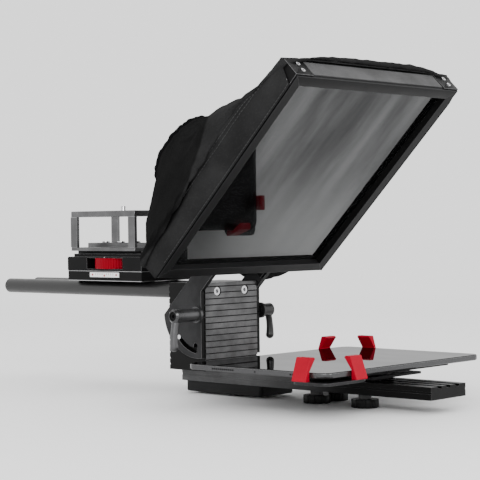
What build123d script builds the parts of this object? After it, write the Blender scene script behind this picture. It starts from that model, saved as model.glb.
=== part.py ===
from build123d import *
import os
from math import atan2, cos, degrees, radians, sin, sqrt

# Teleprompter with a tilting beam-splitter glass, a fabric hood, a camera sled on twin rods
# and a tablet carriage. Millimetres. The origin is the tripod thread's mouth, on the underside
# of the base plate. +Z is up, -Y points to the person who reads, +X to that person's right.

# ---------------------------------------------------------------- driving dimensions
RUN_FIT = 0.05              # radial clearance of a shaft in its bearing hole
GAP = 0.3                   # clearance between faces that slide past each other

# base plate and rail
PLATE_LENGTH, PLATE_WIDTH, PLATE_THICK = 122, 58, 12.7
TRIPOD_THREAD_R = 4.76      # 3/8 inch thread
RAIL_FRONT, RAIL_BACK, RAIL_WIDTH, RAIL_THICK = -303, 65, 63, 14
RAIL_SLOT_X, RAIL_SLOT_WIDTH = 16, 7
RAIL_SLOT_FRONT, RAIL_SLOT_BACK = -288, -70
RAIL_Z = PLATE_THICK
RAIL_TOP = RAIL_Z + RAIL_THICK

# ribbed riser block
BLOCK_WIDTH, BLOCK_DEPTH, BLOCK_FRONT, BLOCK_TOP = 90, 61, 11, 131
RIB_PITCH, RIB_TOP_MARGIN, RIB_GROOVE_WIDTH, RIB_GROOVE_DEPTH = 7.2, 4.5, 1.3, 1.3
BLOCK_BACK = BLOCK_FRONT + BLOCK_DEPTH
BOLT_MID_Y = (BLOCK_FRONT + RAIL_BACK) / 2 + 2

# rods
ROD_R, ROD_SPACING, ROD_Z, ROD_BACK = 9.5, 48, 120.7, 401
ROD_START = BLOCK_FRONT + 16
ROD_SCREW_R, ROD_SCREW_HEAD_R, ROD_SCREW_HEAD = 3, 4.9, 5

# tilt pivot, arc slot and wings
PIVOT_Y, PIVOT_Z, STUD_R = 15.5, 94.2, 4
SLOT_R, SLOT_WIDTH, SLOT_REST_ANGLE, TILT_RANGE = 43.5, 6, -39.6, 40
WING_THICK, WING_IN = 6, BLOCK_WIDTH / 2 + GAP
WING_OUT = WING_IN + WING_THICK
GUIDE_PIN_R = 2.7

# glass frame: x across, s up the slope, d behind the rim's front plane
LEAN = 45
FRAME_FOOT_Y, FRAME_FOOT_Z = 11, 123
FRAME_WIDTH, FRAME_LENGTH, FRAME_LOW_S = 286, 298, 27
FRAME_FRONT_D, FRAME_BACK_D, BAR_WIDTH, WALL = -2, 26, 12.5, 4
REBATE_D, GLASS_THICK, RETAINER_THICK = 6, 3, 5
FRAME_MID_S = FRAME_LOW_S + FRAME_LENGTH / 2
FRAME_TOP_S = FRAME_LOW_S + FRAME_LENGTH

# sled, quick-release body and camera riser
SLED_FRONT, SLED_LENGTH, SLED_WIDTH = 120, 137, 90
SLED_Z = ROD_Z + ROD_R + GAP
SLED_THICK, BODY_TOP, BODY_STEP_TOP, WAY_FLOOR = 13, 161, 164.7, 162.2
SLED_MID = SLED_FRONT + SLED_LENGTH / 2
WHEEL_R, WHEEL_X, WHEEL_Y, WHEEL_Z, WHEEL_THICK = 34, -15, 187, 146, 13.4
WINDOW_WIDTH, WINDOW_DEPTH = 66, 30
RISER_FRONT, RISER_LENGTH, RISER_WIDTH = 139, 120, 75
RISER_Z, RISER_PLATE, POST_TOP, RISER_TOP = 168.3, 4.3, 211.5, 219
POST_LENGTH, POST_THICK = 12, 4.3
RISER_MID = RISER_FRONT + RISER_LENGTH / 2
CAMERA_SCREW_R, CAMERA_SHANK_R, CAMERA_SCREW_OUT = 3.175, 3.6, 6

# tablet, tray, carriage and clamp
TABLET_WIDTH, TABLET_LENGTH, TABLET_THICK, TABLET_MID_Y, TABLET_Z = 281, 200, 6.4, -150, 40.6
TABLET_CORNER_R = 12
TRAY_WIDTH, TRAY_LENGTH, TRAY_Z, TRAY_THICK = 190, 178, 37.6, 2
ARM_Z, ARM_THICK, ARM_WIDTH, ARM_TRAVEL = 34.4, 3, 26, 25
CARRIAGE_FRONT, CARRIAGE_LENGTH, CARRIAGE_WIDTH, CARRIAGE_LEAF = -236, 150, 90, 2.5
CARRIAGE_FOOT_WIDTH, CARRIAGE_FOOT_LENGTH = 44, 108
KNOB_R, KNOB_HEIGHT, KNOB_Z, COLLAR_R = 15.2, 9, -2.2, 7.3
KNOB_PLACES = [("knob_rear_left", -16, -134), ("knob_rear_right", 16, -134), ("knob_front", -16, -203)]
CLIP_WIDTH, CLIP_TOP = 19, 62

os.makedirs("parts", exist_ok=True)


def save(part, name):
    """Label one finished sub-part and write it as its own STEP file."""
    part.label = name
    export_step(part, f"parts/{name}.step")


def side_plane(x):
    """A plane across X, its local x along +Y and its local y along +Z."""
    return Plane(origin=(x, 0, 0), x_dir=(0, 1, 0), z_dir=(1, 0, 0))


def front_plane(y):
    """A plane across Y, its local x along +X, its local y along +Z and its normal along -Y."""
    return Plane(origin=(0, y, 0), x_dir=(1, 0, 0), z_dir=(0, -1, 0))


def slope_plane(d, s=0):
    """A plane parallel to the glass, d behind the rim; its local y runs up the slope."""
    c = cos(radians(LEAN))
    origin = (0, FRAME_FOOT_Y + (d - s) * c, FRAME_FOOT_Z + (d + s) * c)
    return Plane(origin=origin, x_dir=(1, 0, 0), z_dir=(0, -c, -c))


def wall_plane(s):
    """A plane square to the slope at height s; its local y runs from the rim to the back."""
    c = cos(radians(LEAN))
    origin = (0, FRAME_FOOT_Y - s * c, FRAME_FOOT_Z + s * c)
    return Plane(origin=origin, x_dir=(1, 0, 0), z_dir=(0, -c, c))


def slope_point(s, d):
    """World (y, z) of a point s up the slope and d behind the rim."""
    c = cos(radians(LEAN))
    return FRAME_FOOT_Y + (d - s) * c, FRAME_FOOT_Z + (d + s) * c


# ================================================================ fixed support
with BuildPart() as base_plate:
    with BuildSketch(Plane.XY):
        RectangleRounded(PLATE_WIDTH, PLATE_LENGTH, 4)
    extrude(amount=PLATE_THICK)
    chamfer(base_plate.edges().group_by(Axis.Z)[0], 1)
    with Locations((0, 0, PLATE_THICK)):
        Hole(TRIPOD_THREAD_R)
    with Locations(Location((0, 0, 0), (180, 0, 0))):
        with GridLocations(40, 90, 2, 2):
            CounterBoreHole(2.6, 4.6, 5)
save(base_plate.part, "base_plate")

with BuildPart() as base_rail:
    # slotted extrusion, drawn at its front end and run back along +Y
    with BuildSketch(front_plane(RAIL_BACK)):
        with Locations((0, RAIL_Z + RAIL_THICK / 2)):
            Rectangle(RAIL_WIDTH, RAIL_THICK)
        for groove_x in (-RAIL_SLOT_X, 0, RAIL_SLOT_X):
            with Locations((groove_x, RAIL_TOP)):
                Rectangle(RAIL_SLOT_WIDTH, 5, mode=Mode.SUBTRACT)
        for side in (-1, 1):
            with Locations((side * RAIL_WIDTH / 2, RAIL_Z + RAIL_THICK * 0.55)):
                Rectangle(1.6, 2.2, mode=Mode.SUBTRACT)
    extrude(amount=RAIL_BACK - RAIL_FRONT)
    # two slots cut through, for the carriage's knobs
    slot_length = RAIL_SLOT_BACK - RAIL_SLOT_FRONT
    with BuildSketch(Plane.XY.offset(RAIL_Z)):
        with Locations(*[(x, (RAIL_SLOT_BACK + RAIL_SLOT_FRONT) / 2) for x in (-RAIL_SLOT_X, RAIL_SLOT_X)]):
            SlotOverall(slot_length, RAIL_SLOT_WIDTH, rotation=90)
    extrude(amount=RAIL_THICK, mode=Mode.SUBTRACT)
    # holes for the base plate's screws and the block's bolts
    with Locations((0, 0, RAIL_TOP)):
        with GridLocations(40, 90, 2, 2):
            Hole(2.1)
    with Locations((0, BOLT_MID_Y, RAIL_TOP)):
        with GridLocations(50, 30, 2, 2):
            Hole(3.1)
save(base_rail.part, "base_rail")

with BuildPart() as riser_block:
    with BuildSketch(side_plane(-BLOCK_WIDTH / 2)):
        with Locations((BLOCK_FRONT + BLOCK_DEPTH / 2, (RAIL_TOP + BLOCK_TOP) / 2)):
            Rectangle(BLOCK_DEPTH, BLOCK_TOP - RAIL_TOP)
        # horizontal grooves on the front and back faces
        groove_count = int((BLOCK_TOP - RAIL_TOP) / RIB_PITCH)
        groove_z = [BLOCK_TOP - RIB_TOP_MARGIN - i * RIB_PITCH for i in range(groove_count)]
        for face_y in (BLOCK_FRONT, BLOCK_BACK):
            with Locations(*[(face_y, z) for z in groove_z]):
                Rectangle(2 * RIB_GROOVE_DEPTH, RIB_GROOVE_WIDTH, mode=Mode.SUBTRACT)
    extrude(amount=BLOCK_WIDTH)
    # rod sockets from the back, screw holes from the front
    for x in (-ROD_SPACING / 2, ROD_SPACING / 2):
        with BuildSketch(front_plane(BLOCK_BACK)):
            with Locations((x, ROD_Z)):
                Circle(ROD_R)
        extrude(amount=BLOCK_BACK - ROD_START, mode=Mode.SUBTRACT)
        with BuildSketch(front_plane(ROD_START)):
            with Locations((x, ROD_Z)):
                Circle(ROD_SCREW_R)
        extrude(amount=ROD_START - BLOCK_FRONT, mode=Mode.SUBTRACT)
        with BuildSketch(front_plane(BLOCK_FRONT + ROD_SCREW_HEAD + 1)):
            with Locations((x, ROD_Z)):
                Circle(ROD_SCREW_HEAD_R + 1)
        extrude(amount=ROD_SCREW_HEAD + 1, mode=Mode.SUBTRACT)
    # pivot studs and guide pins screw in from both sides
    guide_y = PIVOT_Y + SLOT_R * cos(radians(SLOT_REST_ANGLE))
    guide_z = PIVOT_Z + SLOT_R * sin(radians(SLOT_REST_ANGLE))
    for side in (-1, 1):
        with BuildSketch(side_plane(side * BLOCK_WIDTH / 2)):
            with Locations((PIVOT_Y, PIVOT_Z)):
                Circle(STUD_R)
        extrude(amount=-side * 22, mode=Mode.SUBTRACT)
        with BuildSketch(side_plane(side * BLOCK_WIDTH / 2)):
            with Locations((guide_y, guide_z)):
                Circle(GUIDE_PIN_R)
        extrude(amount=-side * 14, mode=Mode.SUBTRACT)
    # threaded holes for the bolts that come up from the rail
    with BuildSketch(Plane.XY.offset(RAIL_TOP)):
        with Locations((0, BOLT_MID_Y)):
            with GridLocations(50, 30, 2, 2):
                Circle(3)
    extrude(amount=20, mode=Mode.SUBTRACT)
save(riser_block.part, "riser_block")

with BuildPart() as underside_screws:
    # four socket-head screws through the base plate, and four bolts from the rail into the block
    with BuildSketch(Plane.XY.offset(0.8)):
        with GridLocations(40, 90, 2, 2):
            Circle(4.4)
            RegularPolygon(1.8, 6, mode=Mode.SUBTRACT)
    extrude(amount=2.2)
    with BuildSketch(Plane.XY.offset(3)):
        with GridLocations(40, 90, 2, 2):
            Circle(4.4)
    extrude(amount=1.8)
    with BuildSketch(Plane.XY.offset(4.8)):
        with GridLocations(40, 90, 2, 2):
            Circle(2.1)
    extrude(amount=RAIL_TOP - 7)
    with BuildSketch(Plane.XY.offset(RAIL_Z + 0.2)):
        with Locations((0, BOLT_MID_Y)):
            with GridLocations(50, 30, 2, 2):
                Circle(3)
    extrude(amount=RAIL_THICK + 18)
save(underside_screws.part, "underside_screws")

for side, rod_name in ((-1, "rod_left"), (1, "rod_right")):
    with BuildPart() as rod:
        with BuildSketch(front_plane(ROD_BACK)):
            with Locations((side * ROD_SPACING / 2, ROD_Z)):
                Circle(ROD_R)
        extrude(amount=ROD_BACK - ROD_START)
        chamfer(rod.edges().group_by(Axis.Y)[-1], 1)
        # tapped front end for the holding screw
        with BuildSketch(front_plane(ROD_START)):
            with Locations((side * ROD_SPACING / 2, ROD_Z)):
                Circle(ROD_SCREW_R)
        extrude(amount=-18, mode=Mode.SUBTRACT)
        # socket for the end cap
        with BuildSketch(front_plane(ROD_BACK)):
            with Locations((side * ROD_SPACING / 2, ROD_Z)):
                Circle(6.5)
        extrude(amount=10, mode=Mode.SUBTRACT)
    save(rod.part, rod_name)

with BuildPart() as rod_screws:
    with BuildSketch(front_plane(BLOCK_FRONT + ROD_SCREW_HEAD + 1)):
        with Locations(*[(x, ROD_Z) for x in (-ROD_SPACING / 2, ROD_SPACING / 2)]):
            Circle(ROD_SCREW_HEAD_R)
    extrude(amount=ROD_SCREW_HEAD)
    with BuildSketch(front_plane(ROD_START + 15)):
        with Locations(*[(x, ROD_Z) for x in (-ROD_SPACING / 2, ROD_SPACING / 2)]):
            Circle(ROD_SCREW_R)
    extrude(amount=ROD_START + 15 - BLOCK_FRONT - ROD_SCREW_HEAD - 1)
    with BuildSketch(front_plane(BLOCK_FRONT + 4)):
        with Locations(*[(x, ROD_Z) for x in (-ROD_SPACING / 2, ROD_SPACING / 2)]):
            RegularPolygon(2.6, 6)
    extrude(amount=4, mode=Mode.SUBTRACT)
save(rod_screws.part, "rod_screws")

with BuildPart() as rod_end_caps:
    with BuildSketch(front_plane(ROD_BACK)):
        with Locations(*[(x, ROD_Z) for x in (-ROD_SPACING / 2, ROD_SPACING / 2)]):
            Circle(6.5)
    extrude(amount=9)
    with BuildSketch(front_plane(ROD_BACK + 1.5)):
        with Locations(*[(x, ROD_Z) for x in (-ROD_SPACING / 2, ROD_SPACING / 2)]):
            Circle(7.8)
    extrude(amount=1.5)
save(rod_end_caps.part, "rod_end_caps")

# lever hub lengths, measured out from the wing, and how far each handle hangs down
LEFT_HUB, RIGHT_HUB, LEFT_DROP, RIGHT_DROP = 44, 24, 36, 31
LEVER_COLLAR, LEVER_RECESS, WASHER_THICK, STUD_HEAD_R = 3.5, 4.5, 2.2, 5.2

with BuildPart() as pivot_studs:
    for side, hub in ((-1, LEFT_HUB), (1, RIGHT_HUB)):
        with BuildSketch(side_plane(side * (BLOCK_WIDTH / 2 - 20))):
            with Locations((PIVOT_Y, PIVOT_Z)):
                Circle(STUD_R)
        extrude(amount=side * (WING_OUT - BLOCK_WIDTH / 2 + 20 + hub - LEVER_RECESS + GAP))
        # thin washer between the wing and the lever
        with BuildSketch(side_plane(side * (WING_OUT + GAP))):
            with Locations((PIVOT_Y, PIVOT_Z)):
                Circle(6.2)
        extrude(amount=side * WASHER_THICK)
        # socket head that keeps the lever on, in the recess at the hub's outer end
        with BuildSketch(side_plane(side * (WING_OUT + hub - LEVER_RECESS + GAP))):
            with Locations((PIVOT_Y, PIVOT_Z)):
                Circle(STUD_HEAD_R)
        extrude(amount=side * 1)
        with BuildSketch(side_plane(side * (WING_OUT + hub - LEVER_RECESS + GAP + 1))):
            with Locations((PIVOT_Y, PIVOT_Z)):
                Circle(STUD_HEAD_R)
                RegularPolygon(2.4, 6, mode=Mode.SUBTRACT)
        extrude(amount=side * 2)
save(pivot_studs.part, "pivot_studs")

with BuildPart() as guide_pins:
    for side in (-1, 1):
        with BuildSketch(side_plane(side * (BLOCK_WIDTH / 2 - 12))):
            with Locations((guide_y, guide_z)):
                Circle(GUIDE_PIN_R)
        extrude(amount=side * (WING_OUT - BLOCK_WIDTH / 2 + 12.6))
save(guide_pins.part, "guide_pins")


# ================================================================ clamping levers
def clamp_lever(side, hub, drop):
    """A ratchet lever on its stud: collar, tapered hub and a bent handle hanging down."""
    start = WING_OUT + GAP + WASHER_THICK + GAP
    end = WING_OUT + hub
    with BuildPart() as lever:
        axis_plane = Plane(origin=(0, PIVOT_Y, PIVOT_Z), x_dir=(side, 0, 0), z_dir=(0, -side, 0))
        with BuildSketch(axis_plane):
            with BuildLine():
                Polyline((start, 0), (start, 9.6), (start + LEVER_COLLAR, 9.6),
                         (start + LEVER_COLLAR, 7.6), (end - 2, 8.2), (end, 6.4), (end, 0), close=True)
            make_face()
        revolve(axis=Axis((0, PIVOT_Y, PIVOT_Z), (1, 0, 0)))
        # handle: a round bar that leaves the hub's outer end and swells towards its tip
        bend = end - 6.5
        for low, reach, radius in ((0, bend, 4.6), (0.6 * drop, end - 2, 4.2), (drop, end - 2, 5)):
            with BuildSketch(Plane(origin=(side * reach, PIVOT_Y, PIVOT_Z - low), z_dir=(0, 0, -1))):
                Circle(radius)
        loft()
        with Locations((side * (end - 2), PIVOT_Y, PIVOT_Z - drop)):
            Sphere(5)
        # bearing hole for the stud, and a recess for its head in the outer end
        with BuildSketch(side_plane(side * start)):
            with Locations((PIVOT_Y, PIVOT_Z)):
                Circle(STUD_R + RUN_FIT)
        extrude(amount=side * (end - start), mode=Mode.SUBTRACT)
        with BuildSketch(side_plane(side * end)):
            with Locations((PIVOT_Y, PIVOT_Z)):
                Circle(STUD_HEAD_R + GAP)
        extrude(amount=-side * LEVER_RECESS, mode=Mode.SUBTRACT)
    return lever.part


for side, hub, drop, word in ((-1, LEFT_HUB, LEFT_DROP, "left"), (1, RIGHT_HUB, RIGHT_DROP, "right")):
    save(clamp_lever(side, hub, drop), f"lever_{word}")


# ================================================================ tilting glass unit
def wing_plate(side):
    """A side plate: a foot around the pivot with an arc slot, and an arm up to the frame."""
    low_z, back = PIVOT_Z - 51.7, 24
    front_y = FRAME_FOOT_Y + 1.4
    arm_front = slope_point(FRAME_LOW_S, 0)
    arm_back = slope_point(FRAME_LOW_S, 23.5)
    heel = slope_point(-66.5, 23.5)
    with BuildPart() as wing:
        with BuildSketch(side_plane(side * WING_IN)):
            with BuildLine():
                Polyline((front_y, low_z), (front_y, FRAME_FOOT_Y + FRAME_FOOT_Z - front_y), arm_front,
                         arm_back, heel)
                ThreePointArc(heel, (PIVOT_Y + 0.74 * 55.5, PIVOT_Z - 0.68 * 55.5), (front_y, low_z))
            make_face()
            with Locations((PIVOT_Y, PIVOT_Z)):
                Circle(STUD_R + RUN_FIT, mode=Mode.SUBTRACT)
            # arc slot about the pivot, and the short leg at its front end
            with BuildLine(mode=Mode.PRIVATE) as slot_line:
                CenterArc((PIVOT_Y, PIVOT_Z), SLOT_R, SLOT_REST_ANGLE + 0.8, -TILT_RANGE - 1.6)
            SlotArc(slot_line.wires()[0].edges()[0], SLOT_WIDTH, mode=Mode.SUBTRACT)
            leg_angle, leg_r = radians(SLOT_REST_ANGLE - TILT_RANGE), SLOT_R - 3
            with Locations((PIVOT_Y + leg_r * cos(leg_angle), PIVOT_Z + leg_r * sin(leg_angle))):
                SlotOverall(12, SLOT_WIDTH, rotation=degrees(leg_angle), mode=Mode.SUBTRACT)
        extrude(amount=side * WING_THICK)
    return wing.part


for side, word in ((-1, "left"), (1, "right")):
    save(wing_plate(side), f"wing_{word}")

with BuildPart() as frame_feet:
    # an angle inside each wing: one leg on the wing, one under the frame's bottom bar
    for side in (-1, 1):
        with BuildSketch(slope_plane(21, FRAME_LOW_S)):
            with BuildLine():
                x0 = side * WING_IN
                Polyline((x0, 0), (x0 - side * 18, 0), (x0 - side * 18, -3), (x0 - side * 3, -3),
                         (x0 - side * 3, -13), (x0, -13), close=True)
            make_face()
        extrude(amount=19)
save(frame_feet.part, "frame_feet")

with BuildPart() as foot_screws:
    with BuildSketch(wall_plane(FRAME_LOW_S - 3)):
        with Locations(*[(side * (WING_IN - 11), d) for side in (-1, 1) for d in (7, 16)]):
            Circle(3)
            RegularPolygon(1.3, 6, mode=Mode.SUBTRACT)
    extrude(amount=-2)
save(foot_screws.part, "foot_screws")


def mitred_bar(index, inset_from, inset_to, d_from, d_to):
    """One side of a picture frame, mitred at both ends. Index 0 top, 1 right, 2 bottom, 3 left."""
    def ring(inset):
        half_x, half_s = FRAME_WIDTH / 2 - inset, FRAME_LENGTH / 2 - inset
        return [(-half_x, half_s), (half_x, half_s), (half_x, -half_s), (-half_x, -half_s)]
    outer, inner = ring(inset_from), ring(inset_to)
    after = (index + 1) % 4
    with BuildPart() as bar:
        with BuildSketch(slope_plane(d_to, FRAME_MID_S)):
            with BuildLine():
                Polyline(outer[index], outer[after], inner[after], inner[index], close=True)
            make_face()
        extrude(amount=d_to - d_from)
    return bar.part


for index, word in enumerate(("top", "right", "bottom", "left")):
    body = mitred_bar(index, 0, BAR_WIDTH, FRAME_FRONT_D, REBATE_D)
    lip = mitred_bar(index, 0, WALL, REBATE_D, FRAME_BACK_D)
    save(body + lip, f"frame_bar_{word}")

with BuildPart() as glass_retainers:
    # a mitred surround that holds the glass in its rebate from behind
    glass_back = REBATE_D + GLASS_THICK
    for index in range(4):
        add(mitred_bar(index, WALL + 0.1, BAR_WIDTH - 1, glass_back, glass_back + RETAINER_THICK))
save(glass_retainers.part, "glass_retainers")

with BuildPart() as beam_splitter_glass:
    with BuildSketch(slope_plane(REBATE_D + GLASS_THICK, FRAME_MID_S)):
        Rectangle(FRAME_WIDTH - 2 * WALL - 0.6, FRAME_LENGTH - 2 * WALL - 0.6)
    extrude(amount=GLASS_THICK)
save(beam_splitter_glass.part, "beam_splitter_glass")

BRACKET_LEG, BRACKET_THICK, TAPE_THICK = 26, 1.5, 1.2

with BuildPart() as corner_brackets:
    # bent angles round the frame's four outer corners
    with BuildSketch(slope_plane(FRAME_BACK_D - 2, FRAME_MID_S)):
        Rectangle(FRAME_WIDTH + 2 * BRACKET_THICK, FRAME_LENGTH + 2 * BRACKET_THICK)
        Rectangle(FRAME_WIDTH, FRAME_LENGTH, mode=Mode.SUBTRACT)
        Rectangle(FRAME_WIDTH - 2 * BRACKET_LEG, 2 * FRAME_LENGTH, mode=Mode.SUBTRACT)
        Rectangle(2 * FRAME_WIDTH, FRAME_LENGTH - 2 * BRACKET_LEG, mode=Mode.SUBTRACT)
    extrude(amount=FRAME_BACK_D - 4 - FRAME_FRONT_D)
save(corner_brackets.part, "corner_brackets")

with BuildPart() as bracket_screws:
    for s, sign in ((FRAME_TOP_S + BRACKET_THICK, 1), (FRAME_LOW_S - BRACKET_THICK, -1)):
        with BuildSketch(wall_plane(s)):
            with Locations(*[(side * (FRAME_WIDTH / 2 - 13), d) for side in (-1, 1) for d in (6, 16)]):
                Circle(2.6)
                RegularPolygon(1.2, 6, mode=Mode.SUBTRACT)
        extrude(amount=sign * 1.6)
    for side in (-1, 1):
        for d in (6, 16):
            y, z = slope_point(FRAME_TOP_S - 13, d)
            with BuildSketch(side_plane(side * (FRAME_WIDTH / 2 + BRACKET_THICK))):
                with Locations((y, z)):
                    Circle(2.6)
                    RegularPolygon(1.2, 6, mode=Mode.SUBTRACT)
            extrude(amount=side * 1.6)
save(bracket_screws.part, "bracket_screws")

TAPE_LONG_X, TAPE_LONG_S = FRAME_WIDTH - 2 * BRACKET_LEG - 4, FRAME_LENGTH - 2 * BRACKET_LEG - 4
TAPE_WIDTH = 20

with BuildPart() as hook_tapes:
    # one strip on the top wall, one on each side wall
    with BuildSketch(wall_plane(FRAME_TOP_S)):
        with Locations((0, FRAME_FRONT_D + 4 + TAPE_WIDTH / 2)):
            Rectangle(TAPE_LONG_X, TAPE_WIDTH)
    extrude(amount=TAPE_THICK)
    with BuildSketch(slope_plane(FRAME_FRONT_D + 4 + TAPE_WIDTH, FRAME_MID_S)):
        with Locations(*[(side * (FRAME_WIDTH + TAPE_THICK) / 2, 0) for side in (-1, 1)]):
            Rectangle(TAPE_THICK, TAPE_LONG_S)
    extrude(amount=TAPE_WIDTH)
save(hook_tapes.part, "hook_tapes")

# ---------------------------------------------------------------- fabric hood
# Sections from the frame back to the lens: centre (y, z), lean from upright, half width,
# half height and roundness, from 0 for a rectangle to 1 for an ellipse.
HOOD_WALL = 2.5
HOOD_SECTIONS = [
    (*slope_point(FRAME_MID_S, FRAME_BACK_D + GAP), 45, 146.3, 150.3, 0.0),
    (*slope_point(FRAME_MID_S - 4, 42), 41, 151, 143, 0.15),
    (-27, 246, 28, 146, 105, 0.35),
    (86, 289, 38, 40, 54, 1.0),
]
HOOD_SIDE_STEPS = 6


def hood_wire(section, inset):
    """A closed outline of one hood section, as a polygon in its own leaning plane."""
    y, z, lean, half_x, half_v, round_off = section
    a = radians(lean)
    steps = [(-1 + 2 * i / HOOD_SIDE_STEPS) for i in range(HOOD_SIDE_STEPS)]
    square = [(t, -1) for t in steps] + [(1, t) for t in steps]
    square += [(-t, 1) for t in steps] + [(-1, -t) for t in steps]
    points = []
    for p, q in square:
        p_round, q_round = p * sqrt(1 - q * q / 2), q * sqrt(1 - p * p / 2)
        across = (p + (p_round - p) * round_off) * (half_x - inset)
        up = (q + (q_round - q) * round_off) * (half_v - inset)
        points.append(Vector(across, y - up * sin(a), z + up * cos(a)))
    return Wire.make_polygon(points, close=True)


def hood_loft(inset, stretch):
    """The hood's solid shape; stretch lengthens both ends so that the inside cuts through."""
    wires = [hood_wire(section, inset) for section in HOOD_SECTIONS]
    shape = Solid.make_loft(wires, ruled=True)
    if stretch:
        for end, direction in ((0, -1), (-1, 1)):
            y, z, lean, half_x, half_v, round_off = HOOD_SECTIONS[end]
            a = radians(lean)
            shift = (y + direction * stretch * cos(a), z + direction * stretch * sin(a))
            moved = hood_wire((*shift, lean, half_x, half_v, round_off), inset)
            shape = shape + Solid.make_loft(sorted([moved, hood_wire(HOOD_SECTIONS[end], inset)],
                                                   key=lambda w: w.center().Y), ruled=True)
    return shape


with BuildPart() as hood:
    add(hood_loft(0, 0))
    add(hood_loft(HOOD_WALL, 4), mode=Mode.SUBTRACT)
    # flaps that lie on the side tapes and on the back of the top wall
    for side in (-1, 1):
        flap_x = FRAME_WIDTH / 2 + BRACKET_THICK + GAP + 1
        with BuildSketch(slope_plane(FRAME_BACK_D + GAP + 0.5, FRAME_MID_S - 14)):
            with Locations((side * flap_x, 0)):
                Rectangle(2, FRAME_LENGTH - BRACKET_LEG - 8)
        extrude(amount=FRAME_BACK_D - FRAME_FRONT_D - 3)
save(hood.part, "hood")

COLLAR_Y, COLLAR_Z_MID, COLLAR_LEAN, COLLAR_A, COLLAR_B, _ = HOOD_SECTIONS[-1]

with BuildPart() as hood_collar:
    # elastic hem round the lens opening
    a = radians(COLLAR_LEAN)
    hem_plane = Plane(origin=(0, COLLAR_Y + 0.3 * cos(a), COLLAR_Z_MID + 0.3 * sin(a)),
                      x_dir=(1, 0, 0), z_dir=(0, cos(a), sin(a)))
    with BuildSketch(hem_plane):
        Ellipse(COLLAR_A, COLLAR_B)
        Ellipse(COLLAR_A - 5, COLLAR_B - 5, mode=Mode.SUBTRACT)
    extrude(amount=7)
save(hood_collar.part, "hood_collar")

# ================================================================ camera sled
with BuildPart() as sled_base:
    with BuildSketch(Plane.XY.offset(SLED_Z)):
        with Locations((0, SLED_MID)):
            Rectangle(SLED_WIDTH, SLED_LENGTH)
    extrude(amount=SLED_THICK)
    chamfer(sled_base.edges().filter_by(Axis.Z), 1)
    with Locations((0, SLED_MID, SLED_Z + SLED_THICK)):
        with GridLocations(SLED_WIDTH - 20, SLED_LENGTH - 24, 2, 2):
            Hole(2)
save(sled_base.part, "sled_base")

TONGUE_WIDTH = ROD_SPACING - 2 * ROD_R - 0.6
TONGUE_LOW = ROD_Z - 7

with BuildPart() as sled_tongue:
    with BuildSketch(Plane.XY.offset(TONGUE_LOW)):
        with Locations((0, SLED_MID)):
            Rectangle(TONGUE_WIDTH, SLED_LENGTH - 16)
    extrude(amount=SLED_Z - TONGUE_LOW)
    with BuildSketch(front_plane(SLED_FRONT + SLED_LENGTH - 8)):
        with Locations((0, ROD_Z)):
            Circle(4 + RUN_FIT)
    extrude(amount=24, mode=Mode.SUBTRACT)
save(sled_tongue.part, "sled_tongue")


def lobed_knob(plane, radius, height, lobes):
    """A round grip with shallow finger grooves and broken edges, drawn on a plane."""
    with BuildPart() as knob:
        with BuildSketch(plane):
            Circle(radius)
            with PolarLocations(radius + 1.2, lobes):
                Circle(2.2, mode=Mode.SUBTRACT)
        extrude(amount=height)
    return knob.part


clamp_y = SLED_FRONT + SLED_LENGTH - 8
with BuildPart() as sled_clamp_knob:
    add(lobed_knob(Plane(origin=(0, clamp_y + GAP, ROD_Z), x_dir=(1, 0, 0), z_dir=(0, 1, 0)), 9, 12, 12))
    with BuildSketch(front_plane(clamp_y + 1)):
        with Locations((0, ROD_Z)):
            Circle(4)
    extrude(amount=22)
save(sled_clamp_knob.part, "sled_clamp_knob")

BODY_Z = SLED_Z + SLED_THICK

with BuildPart() as quick_release_body:
    with BuildSketch(Plane.XY.offset(BODY_Z)):
        with Locations((0, SLED_MID)):
            Rectangle(SLED_WIDTH, SLED_LENGTH)
    extrude(amount=BODY_TOP - BODY_Z)
    chamfer(quick_release_body.edges().group_by(Axis.Z)[-1], 1)
    with BuildSketch(Plane.XY.offset(BODY_TOP)):
        with Locations((0, SLED_MID)):
            Rectangle(SLED_WIDTH - 12, SLED_LENGTH - 12)
    extrude(amount=BODY_STEP_TOP - BODY_TOP)
    # dovetail way for the riser's plate, open at the back
    with BuildSketch(front_plane(SLED_FRONT + SLED_LENGTH)):
        with BuildLine():
            Polyline((-26, BODY_STEP_TOP), (26, BODY_STEP_TOP), (29, WAY_FLOOR), (-29, WAY_FLOOR), close=True)
        make_face()
    extrude(amount=SLED_LENGTH, mode=Mode.SUBTRACT)
    # round pocket for the lock wheel and the window it shows through
    with BuildSketch(Plane.XY.offset(WHEEL_Z - GAP)):
        with Locations((WHEEL_X, WHEEL_Y)):
            Circle(WHEEL_R + 1.2)
    extrude(amount=WHEEL_THICK + 2 * GAP, mode=Mode.SUBTRACT)
    with BuildSketch(Plane.XY.offset(WHEEL_Z - GAP)):
        with Locations((-SLED_WIDTH / 2, WHEEL_Y)):
            Rectangle(2 * WINDOW_DEPTH, WINDOW_WIDTH)
    extrude(amount=WHEEL_THICK + 2 * GAP, mode=Mode.SUBTRACT)
save(quick_release_body.part, "quick_release_body")

with BuildPart() as lock_wheel_axle:
    with BuildSketch(Plane.XY.offset(WHEEL_Z - GAP)):
        with Locations((WHEEL_X, WHEEL_Y)):
            Circle(3)
    extrude(amount=WHEEL_THICK + 2 * GAP)
save(lock_wheel_axle.part, "lock_wheel_axle")

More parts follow.
